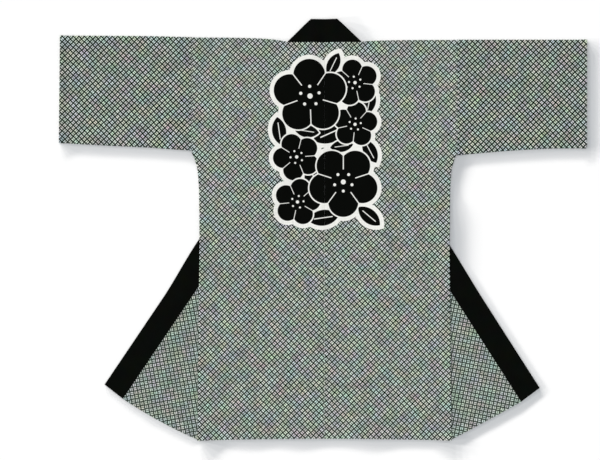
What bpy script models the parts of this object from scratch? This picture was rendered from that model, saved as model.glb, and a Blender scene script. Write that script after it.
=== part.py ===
"""Happi coat laid flat with its back up, modelled for Blender 4.5.

Sizes are in millimetres and become metres where a point is placed. The coat lies on z = 0, with
its collar towards +Y. Each half is worked out as a flat pattern: reach is the distance out from
the centre back seam, height is the place along +Y. The front of each half is turned outwards
along a crease, which reflects the pattern, and every layer rests on the one below it.
"""

import math
from collections import namedtuple

import bmesh
import bpy
from mathutils import Vector

MM = 0.001

# Cloth
CLOTH = 1.2
BAND_CLOTH = 2.0
GAP = 0.3
WELD = 0.05

# Body
CENTRE_X = 4.0
CENTRE_Y = -0.6
HALF_LENGTH = 505.9
PANEL_REACH = 318.6
HEM_ARCH = 4.5
UNDERARM_HEIGHT = 186.0

# Neck and collar band
BAND_WIDTH = 55.5
NECK_HEIGHT = HALF_LENGTH - BAND_WIDTH
NECK_REACH = 87.5
NECK_CORNER = 4.5
NECK_ROW = 6.0
BAND_END_RISE = 4.0

# The shoulder rises outwards from the neck over this span
SHOULDER_SPAN = 45.0

# Creases of the turned fronts
CREASE_INSET = 5.0
ROLL_CLEAR = 4.0
ROLL_STEPS = 4

# Slopes where a layer comes down to the floor
EDGE_MARGIN = 42.0
EDGE_SLOPE = 30.0
BACK_SLOPE = 45.0
SLOPE_FOOT = 2.0

# Spacing of the rows and columns
FINE_ROW = 25.0
COARSE_ROW = 48.0
FINE_ROWS_END = -70.0
PANEL_COLUMNS = 7
FLAP_COLUMNS = 4
SLEEVE_COLUMNS = 5

SideRow = namedtuple("SideRow", "height reach")
SIDE_SEAM = (
    SideRow(height=UNDERARM_HEIGHT, reach=PANEL_REACH),
    SideRow(height=172.0, reach=312.5),
    SideRow(height=150.0, reach=305.5),
    SideRow(height=128.0, reach=303.2),
    SideRow(height=99.0, reach=301.6),
    SideRow(height=40.0, reach=300.4),
    SideRow(height=-40.0, reach=300.0),
    SideRow(height=-HALF_LENGTH, reach=305.0),
)

SleeveRow = namedtuple("SleeveRow", "along top bottom")
SLEEVE_LEFT = (
    SleeveRow(along=0.0, top=462.4, bottom=190.3),
    SleeveRow(along=30.0, top=463.2, bottom=192.2),
    SleeveRow(along=96.0, top=465.1, bottom=197.0),
    SleeveRow(along=168.0, top=465.6, bottom=200.6),
    SleeveRow(along=240.0, top=466.0, bottom=204.0),
    SleeveRow(along=319.0, top=466.3, bottom=209.0),
)
SLEEVE_RIGHT = (
    SleeveRow(along=0.0, top=456.5, bottom=179.0),
    SleeveRow(along=36.0, top=456.5, bottom=182.4),
    SleeveRow(along=108.0, top=456.5, bottom=188.7),
    SleeveRow(along=180.0, top=456.5, bottom=193.3),
    SleeveRow(along=230.0, top=456.5, bottom=195.4),
    SleeveRow(along=311.0, top=456.5, bottom=195.8),
)

HalfSizes = namedtuple(
    "HalfSizes", "name side crease_degrees front_seam front_drop shoulder_rise cuff_slant sleeve"
)
HALVES = (
    HalfSizes(
        name="left",
        side=-1,
        crease_degrees=17.0,
        front_seam=91.0,
        front_drop=20.0,
        shoulder_rise=10.2,
        cuff_slant=2.6,
        sleeve=SLEEVE_LEFT,
    ),
    HalfSizes(
        name="right",
        side=1,
        crease_degrees=16.3,
        front_seam=105.0,
        front_drop=14.0,
        shoulder_rise=4.3,
        cuff_slant=0.0,
        sleeve=SLEEVE_RIGHT,
    ),
)

Finish = namedtuple("Finish", "name colour roughness")
COAT_CLOTH = Finish(name="woven_cotton", colour=(0.21, 0.24, 0.21, 1.0), roughness=0.9)
BLACK_CLOTH = Finish(name="black_cotton", colour=(0.006, 0.007, 0.006, 1.0), roughness=0.85)


def mix(start, end, share):
    """Return the value a share of the way from start to end."""
    return start + (end - start) * share


def ease(share):
    """Return a smooth step from 0 to 1 for a share from 0 to 1."""
    share = min(max(share, 0.0), 1.0)
    return share * share * (3.0 - 2.0 * share)


def split(start, end, count):
    """Return count equal steps from start to end, both included."""
    return [mix(start, end, step / count) for step in range(count + 1)]


class Half:
    """The pattern of one half of the coat, and the heights at which its layers lie."""

    def __init__(self, sizes):
        self.sizes = sizes
        angle = math.radians(sizes.crease_degrees)
        self.slope = math.tan(angle)
        self.foot = Vector((SIDE_SEAM[-1].reach - CREASE_INSET, -HALF_LENGTH))
        self.crease_way = Vector((-math.sin(angle), math.cos(angle)))
        self.crease_out = Vector((-math.cos(angle), -math.sin(angle)))
        self.seam_fold = self.foot.y + (self.foot.x - sizes.front_seam) / self.slope
        self.seam_slant = (sizes.front_seam - NECK_REACH) / (NECK_HEIGHT - self.seam_fold)
        self.edge_fold = self.seam_fold + BAND_WIDTH / (self.slope - self.seam_slant)

    def point(self, reach, height, level):
        """Return the place in metres of a pattern point at a level above the floor."""
        return Vector((CENTRE_X + self.sizes.side * reach, CENTRE_Y + height, level)) * MM

    def crease(self, height):
        """Return the crease's reach at a height."""
        return self.foot.x - (height - self.foot.y) * self.slope

    def turned(self, reach, height):
        """Return where the crease reflects a pattern point to."""
        arm = Vector((reach, height)) - self.foot
        return self.foot + 2.0 * arm.dot(self.crease_way) * self.crease_way - arm

    def seam(self, height):
        """Return the reach of the seam between the front and the collar band."""
        return self.sizes.front_seam - max(height - self.seam_fold, 0.0) * self.seam_slant

    def edge(self, height):
        """Return the reach of the band's free edge."""
        return self.seam(height) - BAND_WIDTH

    def side(self, height):
        """Return the reach of the side edge, with half a seam gap at the armhole."""
        if height >= UNDERARM_HEIGHT:
            return PANEL_REACH - GAP / 2
        for upper, lower in zip(SIDE_SEAM, SIDE_SEAM[1:]):
            if height >= lower.height:
                share = (upper.height - height) / (upper.height - lower.height)
                return mix(upper.reach, lower.reach, share) - GAP / 2
        return SIDE_SEAM[-1].reach - GAP / 2

    def stack_start(self, height):
        """Return the reach where the layers under the back begin."""
        return self.crease(height) if height <= self.edge_fold else self.edge(height)

    def panel_start(self, height):
        """Return the reach where the front panel begins."""
        return max(self.crease(height), self.seam(height) + GAP / 2)

    def band_outside(self, height):
        """Return the outer reach of the band that is not turned: its seam or its neck fold."""
        if height <= NECK_HEIGHT:
            return self.seam(height) - GAP / 2
        share = (height - NECK_HEIGHT) / BAND_WIDTH
        return mix(NECK_REACH, self.edge(HALF_LENGTH), share) - GAP / 2

    def under_front(self, reach, height):
        """Return the level of the underside of the front where it is not turned."""
        mirrored = self.turned(reach, height)
        past_seam = self.seam(mirrored.y) - mirrored.x
        to_band = ease((past_seam + EDGE_MARGIN + EDGE_SLOPE) / EDGE_SLOPE)
        to_floor = ease((past_seam - BAND_WIDTH - EDGE_MARGIN) / EDGE_SLOPE)
        return mix(CLOTH + GAP, BAND_CLOTH + GAP, to_band) * (1.0 - to_floor)

    def under_back(self, reach, height):
        """Return the level of the underside of the back and of the collar behind the neck."""
        start = self.stack_start(height)
        near = max(reach, start)
        panel_share = ease((near - self.seam(height)) / EDGE_SLOPE)
        level = self.under_front(near, height) + mix(BAND_CLOTH, CLOTH, panel_share) + GAP
        down = (start - ROLL_CLEAR - reach) / self.back_slope(height)
        return level * (1.0 - ease(down))

    def back_slope(self, height):
        """Return the width of the slope from the stack down to the floor."""
        return min(BACK_SLOPE, self.stack_start(height) - ROLL_CLEAR - SLOPE_FOOT)

    def inner_columns(self, height):
        """Return reaches across the back from the stack's slope to its start."""
        start = self.stack_start(height) - ROLL_CLEAR
        return split(start - self.back_slope(height), start, 3)

    def rows(self):
        """Return the heights of the rows from below the neck to the hem."""
        keys = [NECK_HEIGHT - NECK_ROW, self.edge_fold, self.seam_fold - GAP / 2 / self.slope]
        keys += [row.height for row in SIDE_SEAM] + [FINE_ROWS_END]
        keys.sort(reverse=True)
        heights = [keys[0]]
        for upper, lower in zip(keys, keys[1:]):
            step = FINE_ROW if lower >= FINE_ROWS_END else COARSE_ROW
            heights += split(upper, lower, math.ceil((upper - lower) / step))[1:]
        return heights


def hem(reach):
    """Return the height of the back hem, which arches up a little to the centre."""
    return -HALF_LENGTH + HEM_ARCH * (1.0 - (reach / SIDE_SEAM[-1].reach) ** 2)


def shoulder(half, reach):
    """Return how far the shoulder line has risen at a reach."""
    past_corner = max(reach - NECK_REACH - NECK_CORNER, 0.0)
    return half.sizes.shoulder_rise * (1.0 - math.exp(-past_corner / SHOULDER_SPAN))


def roll(upper, lower, outwards):
    """Return points round a fold between two points, one above the other, ends included."""
    middle = (upper + lower) / 2
    radius = (upper - lower).length / 2
    points = []
    for step in range(ROLL_STEPS + 1):
        angle = math.pi * step / ROLL_STEPS
        level = Vector((0.0, 0.0, radius * math.cos(angle)))
        points.append(middle + level + outwards * radius * math.sin(angle))
    return points


def outwards(half, way):
    """Return a pattern direction as a direction in space."""
    return Vector((half.sizes.side * way.x, way.y, 0.0))


def add_grid(surface, rows):
    """Add a grid through rows of points to an open surface."""
    patch = bmesh.new()
    bmesh.ops.create_grid(
        patch, x_segments=len(rows[0]) - 1, y_segments=len(rows) - 1, size=1.0
    )
    points = [point for row in rows for point in row]
    for vert, point in zip(patch.verts, points):
        vert.co = point
    bmesh.ops.triangulate(patch, faces=patch.faces, quad_method="FIXED")
    mesh = bpy.data.meshes.new("patch")
    patch.to_mesh(mesh)
    patch.free()
    surface.from_mesh(mesh)
    bpy.data.meshes.remove(mesh)


def back_row(half, height, top=False, bottom=False):
    """Return a row of the back from the centre seam to the side."""
    inner = half.inner_columns(height)
    start = half.stack_start(height)
    seam = half.panel_start(height)
    if top:
        seam = NECK_REACH + NECK_CORNER
    reaches = split(GAP / 2, inner[0], 2)[:-1] + inner + split(start, seam, 2)
    reaches += split(seam, half.side(height), PANEL_COLUMNS)[1:]
    points = []
    for reach in reaches:
        level = half.under_back(reach, height) + CLOTH / 2
        place = row_height(half, reach, height, top, bottom)
        points.append(half.point(reach, place, level))
    return points


def row_height(half, reach, height, top, bottom):
    """Return a row's height at a reach: the shoulder and the hem are not straight."""
    if bottom:
        return hem(reach)
    if top:
        return height + shoulder(half, reach)
    return height


def front_row(half, height, top=False, bottom=False):
    """Return a row of the front from its crease or seam to the side."""
    start = NECK_REACH + NECK_CORNER if top else half.panel_start(height)
    points = []
    for reach in split(start, half.side(height), PANEL_COLUMNS):
        level = half.under_front(reach, height) + CLOTH / 2
        place = row_height(half, reach, height, top, bottom)
        points.append(half.point(reach, place, level))
    return points


def front_hem(half, reach):
    """Return the height of the front hem, which drops towards the collar band."""
    share = (half.foot.x - reach) / (half.foot.x - half.sizes.front_seam)
    return -HALF_LENGTH - half.sizes.front_drop * min(share, 1.0)


def flap_row(half, height, bottom=False):
    """Return a row of the turned front from its crease to the seam of the band."""
    points = []
    for reach in split(half.panel_start(height), half.sizes.front_seam + GAP / 2, FLAP_COLUMNS):
        place = front_hem(half, reach) if bottom else height
        points.append(half.point(*half.turned(reach, place), CLOTH / 2))
    return points


def body_panel(half):
    """Return the open surface of a panel from its back hem over the shoulder to its front hem."""
    surface = bmesh.new()
    neck = NECK_HEIGHT - GAP / 2
    heights = half.rows()
    last = heights[-1]
    back = [back_row(half, neck, top=True)]
    back += [back_row(half, height, bottom=height == last) for height in heights]
    front = [front_row(half, neck, top=True)]
    front += [front_row(half, height, bottom=height == last) for height in heights]
    add_grid(surface, back)
    add_grid(surface, front)

    over_shoulder = back[0][-PANEL_COLUMNS - 1:]
    add_grid(surface, [
        roll(upper, lower, Vector((0.0, 1.0, 0.0))) for upper, lower in zip(over_shoulder, front[0])
    ])

    creased = [height for height in heights if height < half.seam_fold]
    flap = [flap_row(half, height, bottom=height == last) for height in creased]
    add_grid(surface, flap)
    turned_edge = [row[0] for row in front[-len(creased):]]
    way = outwards(half, half.crease_out)
    add_grid(surface, [roll(upper, row[0], way) for upper, row in zip(turned_edge, flap)])
    return surface


def collar_rows(half):
    """Return the heights of the band's rows from its top edge down to the hem."""
    rows = split(HALF_LENGTH, NECK_HEIGHT + GAP / 2, 2)
    swap = half.seam_fold - GAP / 2 / half.slope
    own = half.seam_fold + GAP / 2 / half.slope
    return rows + [own if height == swap else height for height in half.rows()]


def band_front(half, height):
    """Return a row of the band's front that is not turned, from its free edge or crease out."""
    outside = half.band_outside(height)
    start = min(half.stack_start(height), outside)
    if height == HALF_LENGTH:
        start = outside
    level = BAND_CLOTH / 2
    return [
        half.point(reach, height, half.under_front(reach, height) + level)
        for reach in split(start, outside, 2)
    ]


def band_turned(half, height, bottom=False):
    """Return a row of the turned band, from its seam or crease to its free edge."""
    outside = min(half.crease(height), half.seam(height) - GAP / 2)
    points = []
    for reach in split(outside, half.edge(height), 2):
        place = height
        if bottom:
            share = (outside - reach) / BAND_WIDTH
            place = front_hem(half, half.sizes.front_seam) + BAND_END_RISE * share
        points.append(half.point(*half.turned(reach, place), BAND_CLOTH / 2))
    return points


def band_behind(half, height):
    """Return a row of the collar behind the neck, from the centre to the neck fold."""
    inner = half.inner_columns(height)
    outside = half.band_outside(height)
    start = min(half.edge(height), outside)
    if height == HALF_LENGTH:
        start = outside
    reaches = [0.0] + inner + split(start, outside, 2)
    level = BAND_CLOTH / 2
    return [
        half.point(reach, height, half.under_back(reach, height) + level) for reach in reaches
    ]


def collar_half(surface, half):
    """Add one half of the collar band to the surface, from the centre of the neck to the hem."""
    heights = collar_rows(half)
    behind = [band_behind(half, height) for height in heights if height > NECK_HEIGHT]
    add_grid(surface, behind)

    front_heights = [height for height in heights if height > half.seam_fold]
    front = [band_front(half, height) for height in front_heights]
    add_grid(surface, front)

    neck_fold = front[0][-1] - front[len(behind) - 1][-1]
    neck_out = Vector((abs(neck_fold.y), abs(neck_fold.x))).normalized()
    way = outwards(half, neck_out)
    add_grid(surface, [
        roll(upper[-1], lower[-1], way) for upper, lower in zip(behind, front)
    ])

    last = heights[-1]
    turned_heights = [height for height in heights if height <= half.edge_fold]
    turned = [band_turned(half, height, bottom=height == last) for height in turned_heights]
    add_grid(surface, turned)
    creased = [height for height in turned_heights if height > half.seam_fold]
    turned_edge = [row[0] for row in front[-len(creased):]]
    way = outwards(half, half.crease_out)
    add_grid(surface, [roll(upper, row[0], way) for upper, row in zip(turned_edge, turned)])


def sleeve(half):
    """Return the open surface of a sleeve: a flat tube from the armhole to the cuff."""
    sizes = half.sizes
    radius = (CLOTH + GAP) / 2
    low = CLOTH / 2
    high = low + 2 * radius
    length = sizes.sleeve[-1].along
    rings = []
    for row in sizes.sleeve:
        top = row.top - radius - CLOTH / 2
        bottom = row.bottom + radius + CLOTH / 2
        ring = []
        heights = split(top, bottom, SLEEVE_COLUMNS)
        slant = sizes.cuff_slant * row.along / length
        reaches = [
            PANEL_REACH + GAP / 2 + row.along - slant * (height - bottom) / (top - bottom)
            for height in heights
        ]
        upper = [half.point(*at, high) for at in zip(reaches, heights)]
        lower = [half.point(*at, low) for at in zip(reaches, heights)]
        down = Vector((0.0, -1.0, 0.0))
        ring += upper[:-1] + roll(upper[-1], lower[-1], down)
        ring += lower[-2:0:-1] + roll(upper[0], lower[0], -down)[::-1]
        rings.append(ring)
    surface = bmesh.new()
    add_grid(surface, rings)
    return surface


def cloth_material(finish):
    """Return a plain material of a cloth's colour."""
    material = bpy.data.materials.new(finish.name)
    material.use_nodes = True
    shader = material.node_tree.nodes["Principled BSDF"]
    shader.inputs["Base Color"].default_value = finish.colour
    shader.inputs["Roughness"].default_value = finish.roughness
    shader.inputs["Metallic"].default_value = 0.0
    return material


def add_cloth(collection, name, surface, thickness, finish):
    """Make an object from an open surface, with the cloth's thickness added by Solidify."""
    bmesh.ops.remove_doubles(surface, verts=surface.verts, dist=WELD * MM)
    bmesh.ops.recalc_face_normals(surface, faces=surface.faces)
    mesh = bpy.data.meshes.new(name)
    surface.to_mesh(mesh)
    surface.free()
    mesh.materials.append(cloth_material(finish))
    piece = bpy.data.objects.new(name, mesh)
    collection.objects.link(piece)
    wall = piece.modifiers.new("wall", "SOLIDIFY")
    wall.thickness = thickness * MM
    wall.offset = 0.0
    wall.use_even_offset = True
    wall.use_quality_normals = True
    return piece


def main():
    """Build the coat."""
    for old in list(bpy.data.objects):
        bpy.data.objects.remove(old, do_unlink=True)
    collection = bpy.data.collections.new("happi_coat")
    bpy.context.scene.collection.children.link(collection)

    collar = bmesh.new()
    for sizes in HALVES:
        half = Half(sizes)
        add_cloth(collection, f"body_panel_{sizes.name}", body_panel(half), CLOTH, COAT_CLOTH)
        add_cloth(collection, f"sleeve_{sizes.name}", sleeve(half), CLOTH, COAT_CLOTH)
        collar_half(collar, half)
    add_cloth(collection, "collar", collar, BAND_CLOTH, BLACK_CLOTH)


main()
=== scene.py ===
"""Happi coat laid flat with its back up, dressed for Blender 4.5.

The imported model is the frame. Each cloth piece is a fine shell that follows the form of its
solid. The tables are in millimetres and become metres where a point is placed. Reach is the
distance out from the centre back seam and height is the place along the coat, both on the flat
pattern. The front of each half is turned outwards along a crease, which reflects the pattern.
"""

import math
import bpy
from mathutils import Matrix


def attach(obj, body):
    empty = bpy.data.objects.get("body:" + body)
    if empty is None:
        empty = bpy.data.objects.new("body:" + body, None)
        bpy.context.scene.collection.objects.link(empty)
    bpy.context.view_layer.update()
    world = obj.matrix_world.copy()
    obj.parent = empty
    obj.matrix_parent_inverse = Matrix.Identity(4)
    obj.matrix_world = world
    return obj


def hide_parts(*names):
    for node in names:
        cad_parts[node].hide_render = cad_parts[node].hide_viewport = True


bl_info = {
    "name": "Happi coat laid flat",
    "version": (1, 0, 0),
    "blender": (4, 5, 0),
    "location": "3D View > Sidebar > Happi coat",
    "description": "Makes the cloth, print, stitches and studio of a happi coat laid flat",
    "category": "Add Mesh",
}

from collections import namedtuple

import bmesh
import bpy
from bpy.props import FloatProperty, FloatVectorProperty, PointerProperty
from mathutils import Matrix, Vector

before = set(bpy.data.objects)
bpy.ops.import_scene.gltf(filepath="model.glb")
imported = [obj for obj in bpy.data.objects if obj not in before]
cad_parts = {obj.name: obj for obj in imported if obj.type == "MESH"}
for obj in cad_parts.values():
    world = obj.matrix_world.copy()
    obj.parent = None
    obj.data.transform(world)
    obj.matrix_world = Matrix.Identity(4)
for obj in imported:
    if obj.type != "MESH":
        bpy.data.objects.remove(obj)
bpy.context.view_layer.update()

MM = 0.001

# Cloth
CLOTH = 1.2
BAND_CLOTH = 2.0
GAP = 0.3
WELD = 0.02
THICKEST = 2.4
ROUNDED_FROM = 50.0
Rounding = namedtuple("Rounding", "width segments")
CLOTH_ROUNDING = Rounding(width=0.35, segments=2)
BAND_ROUNDING = Rounding(width=0.7, segments=3)

# Body
CENTRE_X = 4.0
CENTRE_Y = -0.6
HALF_LENGTH = 505.9
PANEL_REACH = 318.6
HEM_ARCH = 4.5
HEM_ARCH_SPAN = 60.0
UNDERARM_HEIGHT = 186.0

# Neck and collar band
BAND_WIDTH = 55.5
NECK_HEIGHT = HALF_LENGTH - BAND_WIDTH
NECK_REACH = 87.5
NECK_CORNER = 4.5
NECK_ROW = 6.0
BAND_END_RISE = 4.0
NECK_CORNER_SPAN = 12.0

# The turned band spreads a little round this height on its pattern, where it leaves the side
SPREAD_HEIGHT = -110.0
SPREAD_RUN = 165.0

# The shoulder rises outwards from the neck over this span, and the rise fades down the back
SHOULDER_SPAN = 45.0
SHOULDER_FADE = 30.0

# Creases of the turned fronts
CREASE_INSET = 5.0
ROLL_CLEAR = 4.0
ROLL_STEPS = 6

# Slopes where a layer comes down to the floor
EDGE_MARGIN = 42.0
EDGE_SLOPE = 30.0
BACK_SLOPE = 45.0
SLOPE_FOOT = 2.0

# Seam allowances and hems show as low steps
ALLOWANCE = 8.5
STEP = 2.0
SEAM_RISE = 0.45
HEM_RISE = 1.0
EDGE_RUN = 1.5
SHOWN_START = 4.0
SHOWN_SPAN = 18.0

# Spacing of the rows and columns
ROW = 8.0
INNER_COLUMNS = 11
SIDE_COLUMNS = 22
FLAP_COLUMNS = 24
BAND_COLUMNS = 8
BEHIND_COLUMNS = 20
BEHIND_ROWS = 8
SLEEVE_STEP = 8.0
SLEEVE_COLUMNS = 30

SideRow = namedtuple("SideRow", "height reach")
SIDE_SEAM = (
    SideRow(height=UNDERARM_HEIGHT, reach=PANEL_REACH),
    SideRow(height=172.0, reach=312.5),
    SideRow(height=150.0, reach=305.5),
    SideRow(height=128.0, reach=303.2),
    SideRow(height=99.0, reach=301.6),
    SideRow(height=40.0, reach=300.4),
    SideRow(height=-40.0, reach=300.0),
    SideRow(height=-HALF_LENGTH, reach=305.0),
)

SleeveRow = namedtuple("SleeveRow", "along top bottom")
SLEEVE_LEFT = (
    SleeveRow(along=0.0, top=462.4, bottom=190.3),
    SleeveRow(along=30.0, top=463.2, bottom=192.2),
    SleeveRow(along=96.0, top=465.1, bottom=197.0),
    SleeveRow(along=168.0, top=465.6, bottom=200.6),
    SleeveRow(along=240.0, top=466.0, bottom=204.0),
    SleeveRow(along=319.0, top=466.3, bottom=209.0),
)
SLEEVE_RIGHT = (
    SleeveRow(along=0.0, top=456.5, bottom=179.0),
    SleeveRow(along=36.0, top=456.5, bottom=182.4),
    SleeveRow(along=108.0, top=456.5, bottom=188.7),
    SleeveRow(along=180.0, top=456.5, bottom=193.3),
    SleeveRow(along=230.0, top=456.5, bottom=195.4),
    SleeveRow(along=311.0, top=456.5, bottom=195.8),
)

HalfSizes = namedtuple(
    "HalfSizes",
    "name side crease_degrees front_seam front_drop hem_belly band_spread shoulder_rise "
    "cuff_slant sleeve body_phase sleeve_phase sleeve_bars "
    "panel_flat panel_area sleeve_flat sleeve_area",
)
HALVES = (
    HalfSizes(
        name="left",
        side=-1,
        crease_degrees=17.0,
        front_seam=91.0,
        front_drop=20.0,
        hem_belly=4.8,
        band_spread=7.0,
        shoulder_rise=10.2,
        cuff_slant=2.6,
        sleeve=SLEEVE_LEFT,
        body_phase=(0.0, 0.0),
        sleeve_phase=(3.1, 2.2),
        sleeve_bars=0.95,
        panel_flat=(0.3186, 1.92),
        panel_area=0.5075,
        sleeve_flat=(0.319, 0.545),
        sleeve_area=0.168,
    ),
    HalfSizes(
        name="right",
        side=1,
        crease_degrees=16.3,
        front_seam=105.0,
        front_drop=14.0,
        hem_belly=0.9,
        band_spread=2.6,
        shoulder_rise=4.3,
        cuff_slant=0.0,
        sleeve=SLEEVE_RIGHT,
        body_phase=(2.4, 4.1),
        sleeve_phase=(5.6, 1.3),
        sleeve_bars=0.935,
        panel_flat=(0.3186, 1.92),
        panel_area=0.493,
        sleeve_flat=(0.311, 0.55),
        sleeve_area=0.165,
    ),
)

# Stitches, from the hem's inner edge and from the band's seam
STITCH_INSET = 2.5
BAND_STITCH_INSET = 2.5
STITCH_FLATNESS = 0.7
STITCH_SIDES = 6
STITCH_RINGS = 4
LINE_POINTS = 60

# Soft ridges in the cloth, from one point on the table to another
Ridge = namedtuple("Ridge", "start end width height")
RIDGES = (
    Ridge(start=(-296.0, 176.0), end=(-150.0, 64.0), width=58.0, height=0.9),
    Ridge(start=(300.0, 168.0), end=(164.0, 30.0), width=52.0, height=0.8),
    Ridge(start=(-112.0, 432.0), end=(-196.0, 236.0), width=62.0, height=0.7),
    Ridge(start=(120.0, 436.0), end=(214.0, 250.0), width=58.0, height=0.7),
    Ridge(start=(-214.0, -120.0), end=(-176.0, -470.0), width=72.0, height=0.9),
    Ridge(start=(-40.0, -190.0), end=(-64.0, -520.0), width=66.0, height=0.7),
    Ridge(start=(86.0, -60.0), end=(112.0, -520.0), width=80.0, height=0.9),
    Ridge(start=(236.0, -130.0), end=(252.0, -440.0), width=48.0, height=0.6),
    Ridge(start=(-344.0, 420.0), end=(-560.0, 330.0), width=56.0, height=0.8),
    Ridge(start=(-380.0, 236.0), end=(-610.0, 262.0), width=44.0, height=0.6),
    Ridge(start=(350.0, 410.0), end=(590.0, 318.0), width=54.0, height=0.8),
    Ridge(start=(360.0, 222.0), end=(600.0, 240.0), width=46.0, height=0.6),
    Ridge(start=(350.0, -250.0), end=(392.0, -420.0), width=40.0, height=1.2),
    Ridge(start=(-352.0, -262.0), end=(-408.0, -420.0), width=40.0, height=1.2),
)

# Finishes, with lengths in metres. A shade swings evenly round 1.
Finish = namedtuple("Finish", "roughness specular sheen sheen_roughness")
FINISH_SOCKETS = ("Roughness", "Specular IOR Level", "Sheen Weight", "Sheen Roughness")
COAT_FINISH = Finish(roughness=0.9, specular=0.02, sheen=0.005, sheen_roughness=0.5)
BAND_FINISH = Finish(roughness=0.9, specular=0.02, sheen=0.0, sheen_roughness=0.5)
THREAD_FINISH = Finish(roughness=0.85, specular=0.1, sheen=0.0, sheen_roughness=0.5)
FLOOR_FINISH = Finish(roughness=1.0, specular=0.0, sheen=0.0, sheen_roughness=0.5)
Relief = namedtuple("Relief", "strength depth")
COAT_RELIEF = Relief(strength=0.35, depth=0.00012)
BAND_RELIEF = Relief(strength=0.4, depth=0.00015)
THREAD_RELIEF = Relief(strength=0.3, depth=0.0001)
COAT_YARN_PITCH = 0.00055
BAND_YARN_PITCH = 0.0007
CROSSING_HEIGHT = 0.35
SLUB_HEIGHT = 0.6
SLUB_SHADE = 0.5
SLUB_SCALES = (900.0, 30.0)
CELL_SHADE = 0.34
CELL_WOBBLE = 0.0009
CELL_WOBBLE_SCALE = 420.0
BAR_CORNER = 0.05
BAR_SOFTNESS = 0.02
FINE_DETAIL = 1.0
DYE_SCALE = 30.0
DYE_DETAIL = 1.5
BAND_MOTTLING = 0.3
TWIST_SCALE = 800.0
TWIST_SHADE = 0.4
PRINT_SOFTNESS = 0.0003

# The flat colour that the fronts are blended towards, which makes them a little darker and less
# contrasting than the back
FRONT_FLAT_COLOUR = (0.112, 0.148, 0.120, 1.0)

# The print on the back, from its centre on the flat back
PRINT_CENTRE = (3.0, 211.0)

# Parts of a blossom as shares of its radius, and of a leaf as shares of its reach
PETALS = 5
PETAL_CENTRE = 0.57
PETAL_RADIUS = 0.43
CORE_RADIUS = 0.32
STAMEN_CENTRE = 0.26
STAMEN_RADIUS = 0.042
EYE_RADIUS = 0.07
SLIT_WIDTH = 0.014
SLIT_START = 0.36
LEAF_WIDTH = 0.5
VEIN_WIDTH = 0.03
VEIN_REACH = 0.6

# The print's leaves and then the blossoms over them, from its centre
Leaf = namedtuple("Leaf", "x y reach turn")
LEAVES = (
    Leaf(x=-112.0, y=26.0, reach=34.0, turn=98.0),
    Leaf(x=12.0, y=22.0, reach=46.0, turn=24.0),
    Leaf(x=104.0, y=96.0, reach=32.0, turn=78.0),
    Leaf(x=-30.0, y=-88.0, reach=42.0, turn=96.0),
    Leaf(x=106.0, y=-22.0, reach=32.0, turn=118.0),
    Leaf(x=18.0, y=186.0, reach=30.0, turn=64.0),
    Leaf(x=-6.0, y=-182.0, reach=38.0, turn=8.0),
    Leaf(x=-46.0, y=26.0, reach=30.0, turn=172.0),
    Leaf(x=38.0, y=-10.0, reach=28.0, turn=8.0),
    Leaf(x=104.0, y=-178.0, reach=34.0, turn=140.0),
)
Blossom = namedtuple("Blossom", "x y radius turn")
BLOSSOMS = (
    Blossom(x=70.0, y=42.0, radius=54.0, turn=12.0),
    Blossom(x=-70.0, y=-36.0, radius=57.0, turn=40.0),
    Blossom(x=70.0, y=142.0, radius=56.0, turn=30.0),
    Blossom(x=-68.0, y=-144.0, radius=56.0, turn=6.0),
    Blossom(x=-38.0, y=110.0, radius=89.0, turn=20.0),
    Blossom(x=42.0, y=-96.0, radius=84.0, turn=54.0),
)

# Low lamps whose shadows on the floor fade evenly together. Turn is the way the light travels, in
# degrees from the right towards the hem, and share is the lamp's part of the light.
LowLamp = namedtuple("LowLamp", "rise turn spread share")
LOW_LAMPS = (
    LowLamp(rise=7.2, turn=-8.0, spread=2.6, share=0.14),
    LowLamp(rise=4.6, turn=13.0, spread=3.0, share=0.15),
    LowLamp(rise=4.6, turn=30.0, spread=2.4, share=0.16),
    LowLamp(rise=4.9, turn=47.0, spread=2.0, share=0.18),
    LowLamp(rise=4.9, turn=62.0, spread=2.0, share=0.22),
    LowLamp(rise=4.9, turn=77.0, spread=2.4, share=0.15),
)
KEY_TURN = 45.0
WARM_LIGHT = (1.0, 0.965, 0.93)
COOL_FILL = (0.965, 1.0, 1.035, 1.0)

# Floor and camera, in metres, with the sensor in millimetres
FLOOR_REACH = 20.0
FLOOR_CELLS = 4
FLOOR_DROP = 0.0002
VIEW_CENTRE = (-0.0550, -0.0010)
COAT_MIDDLE_LEVEL = 0.003
SENSOR_WIDTH = 36.0


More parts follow.
